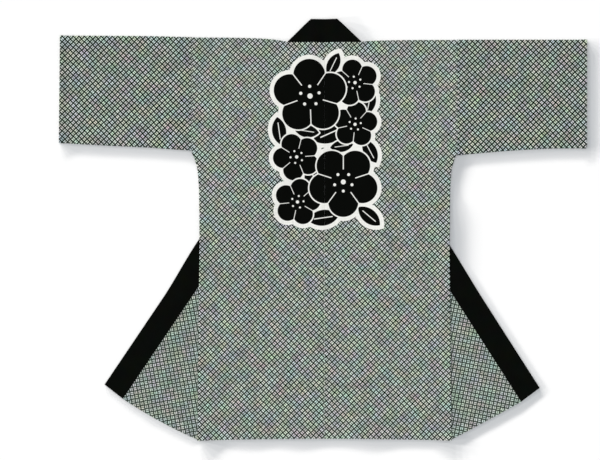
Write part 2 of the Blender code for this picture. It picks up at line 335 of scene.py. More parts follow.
class HappiClothSettings(bpy.types.PropertyGroup):
    """Sizes and colours of the patterned cloth."""

    cell: FloatProperty(
        name="Cell side",
        description="Side of one square cell of the basket pattern",
        default=0.00943,
        min=0.002,
        max=0.05,
        unit="LENGTH",
        precision=5,
    )
    bar_length: FloatProperty(
        name="Bar length",
        description="Length of a light bar as a share of its cell",
        default=0.68,
        min=0.3,
        max=0.98,
        subtype="FACTOR",
    )
    bar_width: FloatProperty(
        name="Bar width",
        description="Width of a light bar as a share of its cell",
        default=0.272,
        min=0.05,
        max=0.49,
        subtype="FACTOR",
    )
    middle_line: FloatProperty(
        name="Middle line",
        description="Width of the dark line between a cell's two bars as a share of its cell",
        default=0.17,
        min=0.0,
        max=0.5,
        subtype="FACTOR",
    )
    bar_colour: FloatVectorProperty(
        name="Bar colour",
        description="Colour of the light bars",
        default=(0.602, 0.664, 0.610, 1.0),
        size=4,
        min=0.0,
        max=1.0,
        subtype="COLOR",
    )
    line_colour: FloatVectorProperty(
        name="Line colour",
        description="Colour of the dark lines between the bars",
        default=(0.0080, 0.0170, 0.0100, 1.0),
        size=4,
        min=0.0,
        max=1.0,
        subtype="COLOR",
    )
    mottling: FloatProperty(
        name="Mottling",
        description="How far the dye's tint varies over the cloth",
        default=0.24,
        min=0.0,
        max=0.6,
        subtype="FACTOR",
    )
    hem_depth: FloatProperty(
        name="Hem depth",
        description="Depth of the turned hems at the bottom and the cuffs",
        default=0.012,
        min=0.004,
        max=0.03,
        unit="LENGTH",
    )
    # Share by which the fronts are blended towards one flat colour, which makes them a little darker
    # and flatter than the back
    front_dulling: FloatProperty(
        name="Front wear",
        description="How far wear has evened out the colours of the fronts",
        default=0.2,
        min=0.0,
        max=1.0,
        subtype="FACTOR",
    )
    relief: FloatProperty(
        name="Relief",
        description="Height of the soft ridges in the cloth, as a share of their own heights",
        default=1.0,
        min=0.0,
        max=2.0,
    )


class HappiPrintSettings(bpy.types.PropertyGroup):
    """Sizes and colours of the print on the back."""

    scale: FloatProperty(
        name="Scale",
        description="Size of the print, as a share of its own size",
        default=1.0,
        min=0.2,
        max=1.2,
    )
    keyline: FloatProperty(
        name="Keyline",
        description="Width of the light edge round the whole print",
        default=0.010,
        min=0.0,
        max=0.03,
        unit="LENGTH",
    )
    parting: FloatProperty(
        name="Parting",
        description="Width of the light line where one shape lies over another",
        default=0.0032,
        min=0.0,
        max=0.01,
        unit="LENGTH",
    )
    ink_colour: FloatVectorProperty(
        name="Ink colour",
        description="Colour of the print",
        default=(0.0022, 0.0026, 0.002, 1.0),
        size=4,
        min=0.0,
        max=1.0,
        subtype="COLOR",
    )
    edge_colour: FloatVectorProperty(
        name="Edge colour",
        description="Colour of the light edge and lines of the print",
        default=(0.80, 0.80, 0.76, 1.0),
        size=4,
        min=0.0,
        max=1.0,
        subtype="COLOR",
    )


class HappiBandSettings(bpy.types.PropertyGroup):
    """Colour of the collar band."""

    colour: FloatVectorProperty(
        name="Band colour",
        description="Colour of the collar band",
        default=(0.0024, 0.0030, 0.0022, 1.0),
        size=4,
        min=0.0,
        max=1.0,
        subtype="COLOR",
    )


class HappiStitchSettings(bpy.types.PropertyGroup):
    """Sizes and colours of the stitches."""

    hem_thread: FloatVectorProperty(
        name="Hem thread",
        description="Colour of the thread in the hems and cuffs",
        default=(0.10, 0.115, 0.10, 1.0),
        size=4,
        min=0.0,
        max=1.0,
        subtype="COLOR",
    )
    band_thread: FloatVectorProperty(
        name="Band thread",
        description="Colour of the thread in the collar band",
        default=(0.004, 0.005, 0.004, 1.0),
        size=4,
        min=0.0,
        max=1.0,
        subtype="COLOR",
    )
    stitch_length: FloatProperty(
        name="Stitch length",
        description="Length of one stitch on top of the cloth",
        default=0.003,
        min=0.001,
        max=0.01,
        unit="LENGTH",
    )
    stitch_pitch: FloatProperty(
        name="Stitch pitch",
        description="Distance from one stitch to the next",
        default=0.0042,
        min=0.0015,
        max=0.02,
        unit="LENGTH",
    )
    thread: FloatProperty(
        name="Thread",
        description="Diameter of the sewing thread",
        default=0.00045,
        min=0.0001,
        max=0.002,
        unit="LENGTH",
        precision=5,
    )


class HappiStageSettings(bpy.types.PropertyGroup):
    """Floor, lights and camera."""

    floor_colour: FloatVectorProperty(
        name="Floor colour",
        description="Colour of the floor",
        default=(0.9, 0.9, 0.9, 1.0),
        size=4,
        min=0.0,
        max=1.0,
        subtype="COLOR",
    )
    low_light: FloatProperty(
        name="Low light",
        description="Light that the low lamps from the left and above give the floor",
        default=1.74,
        min=0.0,
        max=50.0,
    )
    key_light: FloatProperty(
        name="Key light",
        description="Light that the key lamp from the upper left gives the coat",
        default=1.56,
        min=0.0,
        max=50.0,
    )
    key_elevation: FloatProperty(
        name="Key elevation",
        description="Height of the key lamp above the floor",
        default=math.radians(38.0),
        min=0.05,
        max=math.pi / 2,
        subtype="ANGLE",
    )
    key_spread: FloatProperty(
        name="Key spread",
        description="Angle that the key lamp fills, which softens its shadows",
        default=math.radians(30.0),
        min=0.0,
        max=math.pi / 2,
        subtype="ANGLE",
    )
    fill_strength: FloatProperty(
        name="Fill strength",
        description="Strength of the even light from all round",
        default=0.59,
        min=0.0,
        max=10.0,
    )
    view_width: FloatProperty(
        name="View width",
        description="Width that the camera sees at the coat",
        default=1.44,
        min=0.1,
        max=20.0,
        unit="LENGTH",
    )
    lens: FloatProperty(
        name="Lens",
        description="Focal length of the camera",
        default=85.0,
        min=10.0,
        max=400.0,
        unit="CAMERA",
    )


def mix(start, end, share):
    """Return the value a share of the way from start to end."""
    return start + (end - start) * share


def ease(share):
    """Return a smooth step from 0 to 1 for a share from 0 to 1."""
    share = min(max(share, 0.0), 1.0)
    return share * share * (3.0 - 2.0 * share)


def collection(name):
    """Return the scene's collection of a name, made on its first use."""
    found = bpy.data.collections.get(name)
    if found is None:
        found = bpy.data.collections.new(name)
        bpy.context.scene.collection.children.link(found)
    return found


def add_piece(name, shape, material, place):
    """Make a smooth object from a finished shape and add it to a collection."""
    for face in shape.faces:
        face.smooth = True
    mesh = bpy.data.meshes.new(name)
    shape.to_mesh(mesh)
    shape.free()
    mesh.materials.append(material)
    piece = bpy.data.objects.new(name, mesh)
    collection(place).objects.link(piece)
    return piece


def split(start, end, count):
    """Return count equal steps from start to end, both included."""
    return [mix(start, end, step / count) for step in range(count + 1)]


def step_down(distance, depth):
    """Return 1 up to a depth from an edge and 0 past the step there."""
    return 1.0 - ease((distance - depth) / STEP)


def hem(reach):
    """Return the height of the back hem, which arches up a little to the centre."""
    return -HALF_LENGTH + HEM_ARCH * (1.0 - (reach / SIDE_SEAM[-1].reach) ** 2)


def ridge_lift(place, share):
    """Return how far the soft ridges lift the cloth at a place on the table."""
    total = 0.0
    for ridge in RIDGES:
        start = Vector(ridge.start)
        run = Vector(ridge.end) - start
        along = min(max((place - start).dot(run) / run.length_squared, 0.0), 1.0)
        away = (place - start - run * along).length
        total += ridge.height * (1.0 - ease(away / ridge.width))
    return total * share


class Half:
    """The pattern of one half of the coat, and the heights at which its layers lie."""

    def __init__(self, sizes, cloth):
        self.sizes = sizes
        self.hem_depth = cloth.hem_depth / MM
        self.relief = cloth.relief
        angle = math.radians(sizes.crease_degrees)
        self.slope = math.tan(angle)
        self.foot = Vector((SIDE_SEAM[-1].reach - CREASE_INSET, -HALF_LENGTH))
        self.crease_way = Vector((-math.sin(angle), math.cos(angle)))
        self.crease_out = Vector((-math.cos(angle), -math.sin(angle)))
        self.seam_fold = self.foot.y + (self.foot.x - sizes.front_seam) / self.slope
        self.seam_slant = (sizes.front_seam - NECK_REACH) / (NECK_HEIGHT - self.seam_fold)
        self.edge_fold = self.seam_fold + BAND_WIDTH / (self.slope - self.seam_slant)

    def on_table(self, reach, height):
        """Return where a pattern point lies on the table, in millimetres."""
        return Vector((CENTRE_X + self.sizes.side * reach, CENTRE_Y + height))

    def point(self, reach, height, level):
        """Return the place in metres of a pattern point at a level above the floor."""
        return Vector((*self.on_table(reach, height), level)) * MM

    def lift(self, reach, height):
        """Return how far the soft ridges lift the cloth over a pattern point."""
        return ridge_lift(self.on_table(reach, height), self.relief)

    def crease(self, height):
        """Return the crease's reach at a height."""
        return self.foot.x - (height - self.foot.y) * self.slope

    def turned(self, reach, height):
        """Return where the crease reflects a pattern point to."""
        arm = Vector((reach, height)) - self.foot
        return self.foot + 2.0 * arm.dot(self.crease_way) * self.crease_way - arm

    def seam(self, height):
        """Return the reach of the seam between the front and the collar band."""
        return self.sizes.front_seam - max(height - self.seam_fold, 0.0) * self.seam_slant

    def edge(self, height):
        """Return the reach of the band's free edge."""
        return self.seam(height) - BAND_WIDTH

    def spread(self, height):
        """Return how far the turned band's free edge spreads past its straight line."""
        away = abs(height - SPREAD_HEIGHT) / SPREAD_RUN
        return self.sizes.band_spread * (1.0 - ease(away))

    def side(self, height):
        """Return the reach of the side edge, with half a seam gap at the armhole."""
        if height >= UNDERARM_HEIGHT:
            return PANEL_REACH - GAP / 2
        for upper, lower in zip(SIDE_SEAM, SIDE_SEAM[1:]):
            if height >= lower.height:
                share = (upper.height - height) / (upper.height - lower.height)
                return mix(upper.reach, lower.reach, share) - GAP / 2
        return SIDE_SEAM[-1].reach - GAP / 2

    def side_column(self, height):
        """Return the reach of the last column, which the side seam's roll goes round from."""
        if height > UNDERARM_HEIGHT:
            return self.side(height)
        return self.side(height) - (GAP + CLOTH) / 2 - CLOTH / 2

    def stack_start(self, height):
        """Return the reach where the layers under the back begin."""
        return self.crease(height) if height <= self.edge_fold else self.edge(height)

    def panel_start(self, height):
        """Return the reach where the front panel begins."""
        start = max(self.crease(height), self.seam(height) + GAP / 2)
        corner = (height - NECK_HEIGHT + NECK_ROW) / (NECK_ROW - GAP / 2)
        return mix(start, NECK_REACH + NECK_CORNER, min(max(corner, 0.0), 1.0))

    def band_outside(self, height):
        """Return the outer reach of the band that is not turned: its seam or its neck fold."""
        if height <= NECK_HEIGHT:
            return self.seam(height) - GAP / 2
        share = (height - NECK_HEIGHT) / BAND_WIDTH
        return mix(NECK_REACH, self.edge(HALF_LENGTH), share) - GAP / 2

    def under_front(self, reach, height):
        """Return the level of the underside of the front where it is not turned."""
        mirrored = self.turned(reach, height)
        past_seam = self.seam(mirrored.y) - mirrored.x
        to_band = ease((past_seam + EDGE_MARGIN + EDGE_SLOPE) / EDGE_SLOPE)
        to_floor = ease((past_seam - BAND_WIDTH - EDGE_MARGIN) / EDGE_SLOPE)
        return mix(CLOTH + GAP, BAND_CLOTH + GAP, to_band) * (1.0 - to_floor)

    def under_back(self, reach, height):
        """Return the level of the underside of the back and of the collar behind the neck."""
        start = self.stack_start(height)
        near = max(reach, start)
        panel_share = ease((near - self.seam(height)) / EDGE_SLOPE)
        level = self.under_front(near, height) + mix(BAND_CLOTH, CLOTH, panel_share) + GAP
        slope = min(BACK_SLOPE, start - ROLL_CLEAR - SLOPE_FOOT)
        return level * (1.0 - ease((start - ROLL_CLEAR - reach) / slope))

    def rows(self):
        """Return the heights of the rows from below the neck to the hem."""
        keys = [NECK_HEIGHT - NECK_ROW, NECK_HEIGHT - ALLOWANCE, NECK_HEIGHT - ALLOWANCE - STEP]
        keys += [self.edge_fold, self.seam_fold - GAP / 2 / self.slope]
        keys += [row.height for row in SIDE_SEAM]
        keys += [
            rise - HALF_LENGTH for rise in (EDGE_RUN, self.hem_depth, self.hem_depth + STEP)
        ]
        keys.sort(reverse=True)
        heights = [keys[0]]
        for upper, lower in zip(keys, keys[1:]):
            heights += split(upper, lower, math.ceil((upper - lower) / ROW))[1:]
        return heights

    def shoulder(self, reach, height):
        """Return how far the shoulder line has risen at a reach, which fades down the back."""
        past_corner = max(reach - NECK_REACH - NECK_CORNER, 0.0)
        rise = self.sizes.shoulder_rise * (1.0 - math.exp(-past_corner / SHOULDER_SPAN))
        return rise * ease((height - NECK_HEIGHT + SHOULDER_FADE) / (SHOULDER_FADE - GAP / 2))

    def drop(self, reach):
        """Return how far the front hem has dropped at a reach towards the collar band."""
        share = min((self.foot.x - reach) / (self.foot.x - self.sizes.front_seam), 1.0)
        belly = 4.0 * self.sizes.hem_belly * share * (1.0 - share)
        return self.sizes.front_drop * share + belly

    def hem_share(self, height):
        """Return how much of the hem's own line a row takes: 1 at the hem, 0 well above it."""
        return ease(1.0 - (height + HALF_LENGTH) / HEM_ARCH_SPAN)

    def back_height(self, reach, height):
        """Return the height of a back or front row at a reach."""
        arch = (hem(reach) + HALF_LENGTH) * self.hem_share(height)
        return height + self.shoulder(reach, height) + arch

    def flap_height(self, reach, height):
        """Return the height of a row of the turned front at a reach."""
        return height - self.drop(reach) * self.hem_share(height)

    def over_shoulder(self, reach, height):
        """Return how far along the cloth a front point is, over the shoulder from the back.

        The slant of the shoulder evens out down the front, so that its pattern is straight.
        """
        neck = NECK_HEIGHT - GAP / 2
        near_shoulder = ease((height - UNDERARM_HEIGHT) / (neck - UNDERARM_HEIGHT))
        rise = mix(self.sizes.shoulder_rise, self.shoulder(reach, neck), near_shoulder)
        return 2.0 * (neck + rise) + math.pi * (CLOTH + GAP) / 2 - height

    def shown(self, place):
        """Return how far a turned point has come out from under the side, from 0 to 1."""
        past = place.x - self.side(place.y)
        below = -HALF_LENGTH - place.y
        return ease((max(past, below) - SHOWN_START) / SHOWN_SPAN)


Spot = namedtuple("Spot", "place flat wall")


def flat_place(half, reach, height):
    """Return a pattern point as metres on the flat cloth, signed so that both halves share it."""
    return Vector((half.sizes.side * reach, height)) * MM


def roll(upper, lower, outwards):
    """Return spots round a fold between two spots, one above the other, ends included."""
    radius = (upper.place - lower.place).length / 2
    spots = []
    for step in range(ROLL_STEPS + 1):
        angle = math.pi * step / ROLL_STEPS
        place = mix(upper.place, lower.place, (1.0 - math.cos(angle)) / 2)
        place = place + outwards * radius * math.sin(angle)
        share = step / ROLL_STEPS
        wall = mix(upper.wall, lower.wall, share)
        spots.append(Spot(place, mix(upper.flat, lower.flat, share), wall))
    return spots


def sewn_roll(upper, lower, outwards, way):
    """Return the two halves of a roll round a seam: each cloth goes on to the seam."""
    spots = roll(upper, lower, outwards)
    half_turn = (upper.place - lower.place).length * math.pi / 4
    middle = ROLL_STEPS // 2
    halves = []
    for start, part in ((upper, spots[:middle + 1]), (lower, spots[:middle - 1:-1])):
        far = start.flat + way * half_turn
        halves.append([
            Spot(spot.place, mix(start.flat, far, step / middle), spot.wall)
            for step, spot in enumerate(part)
        ])
    return halves


class Surface:
    """An open cloth surface made of grids, with its place on the flat cloth as a UV map."""

    def __init__(self):
        self.mesh = bmesh.new()
        self.flat = self.mesh.loops.layers.uv.new("cloth")
        self.walls = self.mesh.verts.layers.deform.verify()

    def add_grid(self, rows):
        """Add a grid through rows of spots."""
        spots = [spot for row in rows for spot in row]
        before = len(self.mesh.faces)
        bmesh.ops.create_grid(
            self.mesh, x_segments=len(rows[0]) - 1, y_segments=len(rows) - 1, size=1.0
        )
        self.mesh.verts.ensure_lookup_table()
        self.mesh.faces.ensure_lookup_table()
        verts = self.mesh.verts[len(self.mesh.verts) - len(spots):]
        flats = {}
        for vert, spot in zip(verts, spots):
            vert.co = spot.place
            vert[self.walls][0] = spot.wall / THICKEST
            flats[vert] = spot.flat
        for face in self.mesh.faces[before:]:
            for loop in face.loops:
                loop[self.flat].uv = flats[loop.vert]

    def finish(self, name, material, rounding):
        """Make the piece: weld the grids, then give the cloth its wall and rounded edges."""
        bmesh.ops.remove_doubles(self.mesh, verts=self.mesh.verts, dist=WELD * MM)
        bmesh.ops.recalc_face_normals(self.mesh, faces=self.mesh.faces)
        piece = add_piece(name, self.mesh, material, "coat")
        piece.vertex_groups.new(name="wall")
        wall = piece.modifiers.new("wall", "SOLIDIFY")
        wall.thickness = THICKEST * MM
        wall.offset = 0.0
        wall.use_even_offset = True
        wall.use_quality_normals = True
        wall.vertex_group = "wall"
        edges = piece.modifiers.new("rounded edges", "BEVEL")
        edges.width = rounding.width * MM
        edges.segments = rounding.segments
        edges.limit_method = "ANGLE"
        edges.angle_limit = math.radians(ROUNDED_FROM)
        edges.harden_normals = True
        return piece


def side_columns(start, end):
    """Return reaches from a start to the side, closer together at the seam allowance."""
    near_edge = [end - ALLOWANCE - STEP, end - ALLOWANCE, end - EDGE_RUN, end]
    return split(start, near_edge[0], SIDE_COLUMNS) + near_edge[1:]


def back_wall(half, reach, height):
    """Return the thickness of the back at a place, thicker over hems and seam allowances."""
    rises = [HEM_RISE * step_down(height - hem(reach), half.hem_depth)]
    rises.append(SEAM_RISE * step_down(half.side_column(height) - reach, ALLOWANCE))
    if half.sizes.side > 0:
        rises.append(SEAM_RISE * step_down(reach, ALLOWANCE))
    if reach < NECK_REACH + NECK_CORNER:
        rises.append(SEAM_RISE * step_down(NECK_HEIGHT - height, ALLOWANCE))
    return CLOTH + max(rises)


def back_row(half, height):
    """Return a row of the back from the centre seam to the side."""
    knee = NECK_REACH + NECK_CORNER
    reaches = [GAP / 2, EDGE_RUN, ALLOWANCE]
    reaches += split(ALLOWANCE + STEP, knee, INNER_COLUMNS)
    reaches += side_columns(knee, half.side_column(height))[1:]
    row = []
    for reach in reaches:
        place = half.back_height(reach, height)
        wall = back_wall(half, reach, place)
        level = half.under_back(reach, height) + half.lift(reach, place) + wall / 2
        row.append(Spot(half.point(reach, place, level), flat_place(half, reach, place), wall))
    return row


def front_row(half, height):
    """Return a row of the front from its crease or seam to the side."""
    start = NECK_REACH + NECK_CORNER
    neck = NECK_HEIGHT - GAP / 2
    top = side_columns(start, half.side_column(neck))
    row = []
    for column in top:
        share = (column - start) / (top[-1] - start)
        reach = mix(half.panel_start(height), half.side_column(height), share)
        place = half.back_height(reach, height)
        level = half.under_front(reach, height) + CLOTH / 2
        along = half.over_shoulder(reach, place)
        row.append(Spot(half.point(reach, place, level), flat_place(half, reach, along), CLOTH))
    return row


def turned_spot(half, reach, height, hem_height, wall):
    """Return a spot of the turned front or band, which lies on the floor."""
    place = half.turned(reach, height)
    shown = half.shown(place)
    wall += HEM_RISE * step_down(height - hem_height, half.hem_depth) * shown
    level = half.lift(*place) * shown + wall / 2
    arc = math.pi * (CLOTH + GAP) / 2
    cloth = Vector((reach, height)) + half.crease_out * arc
    flat = flat_place(half, cloth.x, half.over_shoulder(reach, cloth.y))
    return Spot(half.point(*place, level), flat, wall)


def flap_row(half, height):
    """Return a row of the turned front from its crease to the seam of the band."""
    row = []
    for reach in split(half.panel_start(height), half.sizes.front_seam + GAP / 2, FLAP_COLUMNS):
        place = half.flap_height(reach, height)
        row.append(turned_spot(half, reach, place, -HALF_LENGTH - half.drop(reach), CLOTH))
    return row


def in_space(half, way):
    """Return a pattern direction as a direction in space."""
    return Vector((half.sizes.side * way.x, way.y, 0.0))


def body_panel(half):
    """Return the surface of a panel from its back hem over the shoulder to its front hem."""
    surface = Surface()
    heights = [NECK_HEIGHT - GAP / 2] + half.rows()
    back = [back_row(half, height) for height in heights]
    front = [front_row(half, height) for height in heights]
    surface.add_grid(back)
    surface.add_grid(front)

    over = back[0][-len(front[0]):]
    up = Vector((0.0, 1.0, 0.0))
    surface.add_grid([roll(upper, lower, up) for upper, lower in zip(over, front[0])])

    creased = [height for height in heights if height < half.seam_fold]
    flap = [flap_row(half, height) for height in creased]
    surface.add_grid(flap)
    way = in_space(half, half.crease_out)
    turned_edge = front[-len(creased):]
    surface.add_grid([
        roll(row[0], under[0], way) for row, under in zip(turned_edge, flap)
    ])

    out = Vector((half.sizes.side, 0.0, 0.0))
    sewn = [
        sewn_roll(upper[-1], lower[-1], out, out.xy)
        for height, upper, lower in zip(heights, back, front)
        if height <= UNDERARM_HEIGHT
    ]
    for part in zip(*sewn):
        surface.add_grid(part)
    return surface


def band_spot(half, reach, height, level):
    """Return a spot of the band where it is not turned."""
    place = half.point(reach, height, level + BAND_CLOTH / 2)
    return Spot(place, flat_place(half, reach, half.over_shoulder(reach, height)), BAND_CLOTH)


def band_front(half, height):
    """Return a row of the band's front that is not turned, from its free edge or crease out."""
    outside = half.band_outside(height)
    start = min(half.stack_start(height), outside)
    if height == HALF_LENGTH:
        start = outside
    return [
        band_spot(half, reach, height, half.under_front(reach, height))
        for reach in split(start, outside, BAND_COLUMNS)
    ]


def band_turned(half, height):
    """Return a row of the turned band, from its seam or crease to its free edge."""
    outside = min(half.crease(height), half.seam(height) - GAP / 2)
    row = []
    for reach in split(outside, half.edge(height) - half.spread(height), BAND_COLUMNS):
        rise = BAND_END_RISE * (outside - reach) / BAND_WIDTH
        fall = (half.sizes.front_drop - rise) * half.hem_share(height)
        place = height - fall
        row.append(turned_spot(half, reach, place, -math.inf, BAND_CLOTH))
    return row


def band_behind(half, height):
    """Return a row of the collar behind the neck, from the centre to the neck fold."""
    return [
        band_spot(half, reach, height, half.under_back(reach, height))
        for reach in split(0.0, half.band_outside(height), BEHIND_COLUMNS)
    ]


def collar_half(surface, half):
    """Add one half of the collar band to the surface, from the centre of the neck to the hem."""
    # The crease meets the band's side of the seam gap a little higher than the panel's side
    swap = half.seam_fold - GAP / 2 / half.slope
    own = half.seam_fold + GAP / 2 / half.slope
    heights = split(HALF_LENGTH, NECK_HEIGHT + GAP / 2, BEHIND_ROWS)
    heights += [own if height == swap else height for height in half.rows()]
    behind = [band_behind(half, height) for height in heights if height > NECK_HEIGHT]
    surface.add_grid(behind)

    front = [band_front(half, height) for height in heights if height > half.seam_fold]
    surface.add_grid(front)
    neck_fold = front[0][-1].place - front[len(behind) - 1][-1].place
    neck_out = Vector((abs(neck_fold.y), abs(neck_fold.x))).normalized()
    way = in_space(half, neck_out)
    folds = []
    for height, upper, lower in zip(heights, behind, front):
        to_top = ease((HALF_LENGTH - height) / NECK_CORNER_SPAN)
        fold_way = Vector((way.x, way.y * to_top, 0.0))
        folds.append(roll(upper[-1], lower[-1], fold_way))
    surface.add_grid(folds)

    turned_heights = [height for height in heights if height <= half.edge_fold]
    turned = [band_turned(half, height) for height in turned_heights]
    surface.add_grid(turned)
    creased = [height for height in turned_heights if height > half.seam_fold]
    way = in_space(half, half.crease_out)
    turned_edge = front[-len(creased):]
    surface.add_grid([roll(row[0], under[0], way) for row, under in zip(turned_edge, turned)])


def sleeve_at(half, along):
    """Return the top and bottom of the sleeve's edges at a distance from the armhole."""
    rows = half.sizes.sleeve
    for near, far in zip(rows, rows[1:]):
        if along <= far.along:
            share = (along - near.along) / (far.along - near.along)
            return mix(near.top, far.top, share), mix(near.bottom, far.bottom, share)
    return rows[-1].top, rows[-1].bottom


def sleeve_reach(half, along, height, top, bottom):
    """Return the reach of a point on a sleeve, whose cuff may slant."""
    slant = half.sizes.cuff_slant * along / half.sizes.sleeve[-1].along
    return PANEL_REACH + GAP / 2 + along - slant * (height - bottom) / (top - bottom)


def sleeve_wall(half, along):
    """Return the thickness of the upper wall of a sleeve, thicker over the cuff's hem."""
    to_cuff = half.sizes.sleeve[-1].along - along
    return CLOTH + HEM_RISE * step_down(to_cuff, half.hem_depth)


def sleeve(half):
    """Return the surface of a sleeve: a flat tube from the armhole to the cuff."""
    radius = (CLOTH + GAP) / 2
    low = CLOTH / 2
    length = half.sizes.sleeve[-1].along
    ends = [length - rise for rise in (half.hem_depth + STEP, half.hem_depth, EDGE_RUN, 0.0)]
    columns = split(0.0, ends[0], math.ceil(ends[0] / SLEEVE_STEP)) + ends[1:]
    uppers, lowers, tops, bottoms = [], [], [], []
    for along in columns:
        edge_top, edge_bottom = sleeve_at(half, along)
        top = edge_top - radius - CLOTH / 2
        bottom = edge_bottom + radius + CLOTH / 2
        wall = sleeve_wall(half, along)
        upper, lower = [], []
        for height in split(top, bottom, SLEEVE_COLUMNS):
            reach = sleeve_reach(half, along, height, top, bottom)
            level = CLOTH + GAP + half.lift(reach, height) + wall / 2
            place = half.point(reach, height, level)
            upper.append(Spot(place, flat_place(half, reach, height), wall))
            under = 2.0 * top + math.pi * radius - height
            lower.append(Spot(half.point(reach, height, low), flat_place(half, reach, under), CLOTH))
        uppers.append(upper)
        lowers.append(lower)
        tops.append(roll(upper[0], lower[0], Vector((0.0, 1.0, 0.0))))
        down = Vector((0.0, -1.0, 0.0))
        bottoms.append(sewn_roll(upper[-1], lower[-1], down, down.xy))
    surface = Surface()
    for rows in (uppers, lowers, tops, *zip(*bottoms)):
        surface.add_grid(list(rows))
    return surface


def back_hem_line(half):
    """Return the line of stitches over the back hem, from the centre to the side."""
    height = half.hem_depth - STITCH_INSET - HALF_LENGTH
    line = []
    for reach in split(ALLOWANCE, half.side_column(height) - ALLOWANCE, LINE_POINTS):
        place = half.back_height(reach, height)
        level = half.under_back(reach, height) + half.lift(reach, place)
        line.append(half.point(reach, place, level + back_wall(half, reach, place)))
    return line


def flap_hem_line(half):
    """Return the line of stitches over the hem of the turned front, where it shows."""
    line = []
    for reach in split(half.foot.x, half.sizes.front_seam + ALLOWANCE, LINE_POINTS):
        hem_height = -HALF_LENGTH - half.drop(reach)
        height = hem_height + half.hem_depth - STITCH_INSET
        spot = turned_spot(half, reach, height, hem_height, CLOTH)
        if half.shown(half.turned(reach, height)) == 1.0:
            line.append(spot.place + Vector((0.0, 0.0, spot.wall / 2)) * MM)
    return line


def cuff_line(half):
    """Return the line of stitches over the hem of a cuff."""
    along = half.sizes.sleeve[-1].along - half.hem_depth + STITCH_INSET
    top, bottom = sleeve_at(half, along)
    line = []
    for height in split(top - ALLOWANCE, bottom + ALLOWANCE, LINE_POINTS):
        reach = sleeve_reach(half, along, height, top, bottom)
        level = CLOTH + GAP + half.lift(reach, height) + sleeve_wall(half, along)
        line.append(half.point(reach, height, level))
    return line


def turned_band_line(half):
    """Return the line of stitches beside the seam of the turned band, where it shows."""
    line = []
    for height in split(half.seam_fold, -HALF_LENGTH, LINE_POINTS):
        reach = half.seam(height) - GAP / 2 - BAND_STITCH_INSET
        place = height - half.sizes.front_drop * half.hem_share(height)
        spot = turned_spot(half, reach, place, -math.inf, BAND_CLOTH)
        if half.shown(half.turned(reach, place)) == 1.0:
            line.append(spot.place + Vector((0.0, 0.0, spot.wall / 2)) * MM)
    return line


def neck_line(half):
    """Return the line of stitches beside the neck seam, from the centre outwards."""
    height = NECK_HEIGHT + BAND_STITCH_INSET
    line = []
    for reach in split(0.0, NECK_REACH - ALLOWANCE, LINE_POINTS):
        level = half.under_back(reach, height) + BAND_CLOTH
        line.append(half.point(reach, height, level))
    return line


def add_stitches(shape, line, settings):
    """Add a row of stitches to a mesh, evenly along a line over the cloth."""
    size = (settings.stitch_length, settings.thread, settings.thread * STITCH_FLATNESS)
    wait = settings.stitch_pitch / 2
    for start, end in zip(line, line[1:]):
        run = end - start
        turn = run.to_track_quat("X", "Z").to_matrix().to_4x4()
        while wait <= run.length:
            place = start + run * (wait / run.length)
            place.z += size[2] / 2
            matrix = Matrix.Translation(place) @ turn @ Matrix.Diagonal((*size, 1.0))
            bmesh.ops.create_uvsphere(
                shape,
                u_segments=STITCH_SIDES,
                v_segments=STITCH_RINGS,
                radius=0.5,
                matrix=matrix,
            )
            wait += settings.stitch_pitch
        wait -= run.length


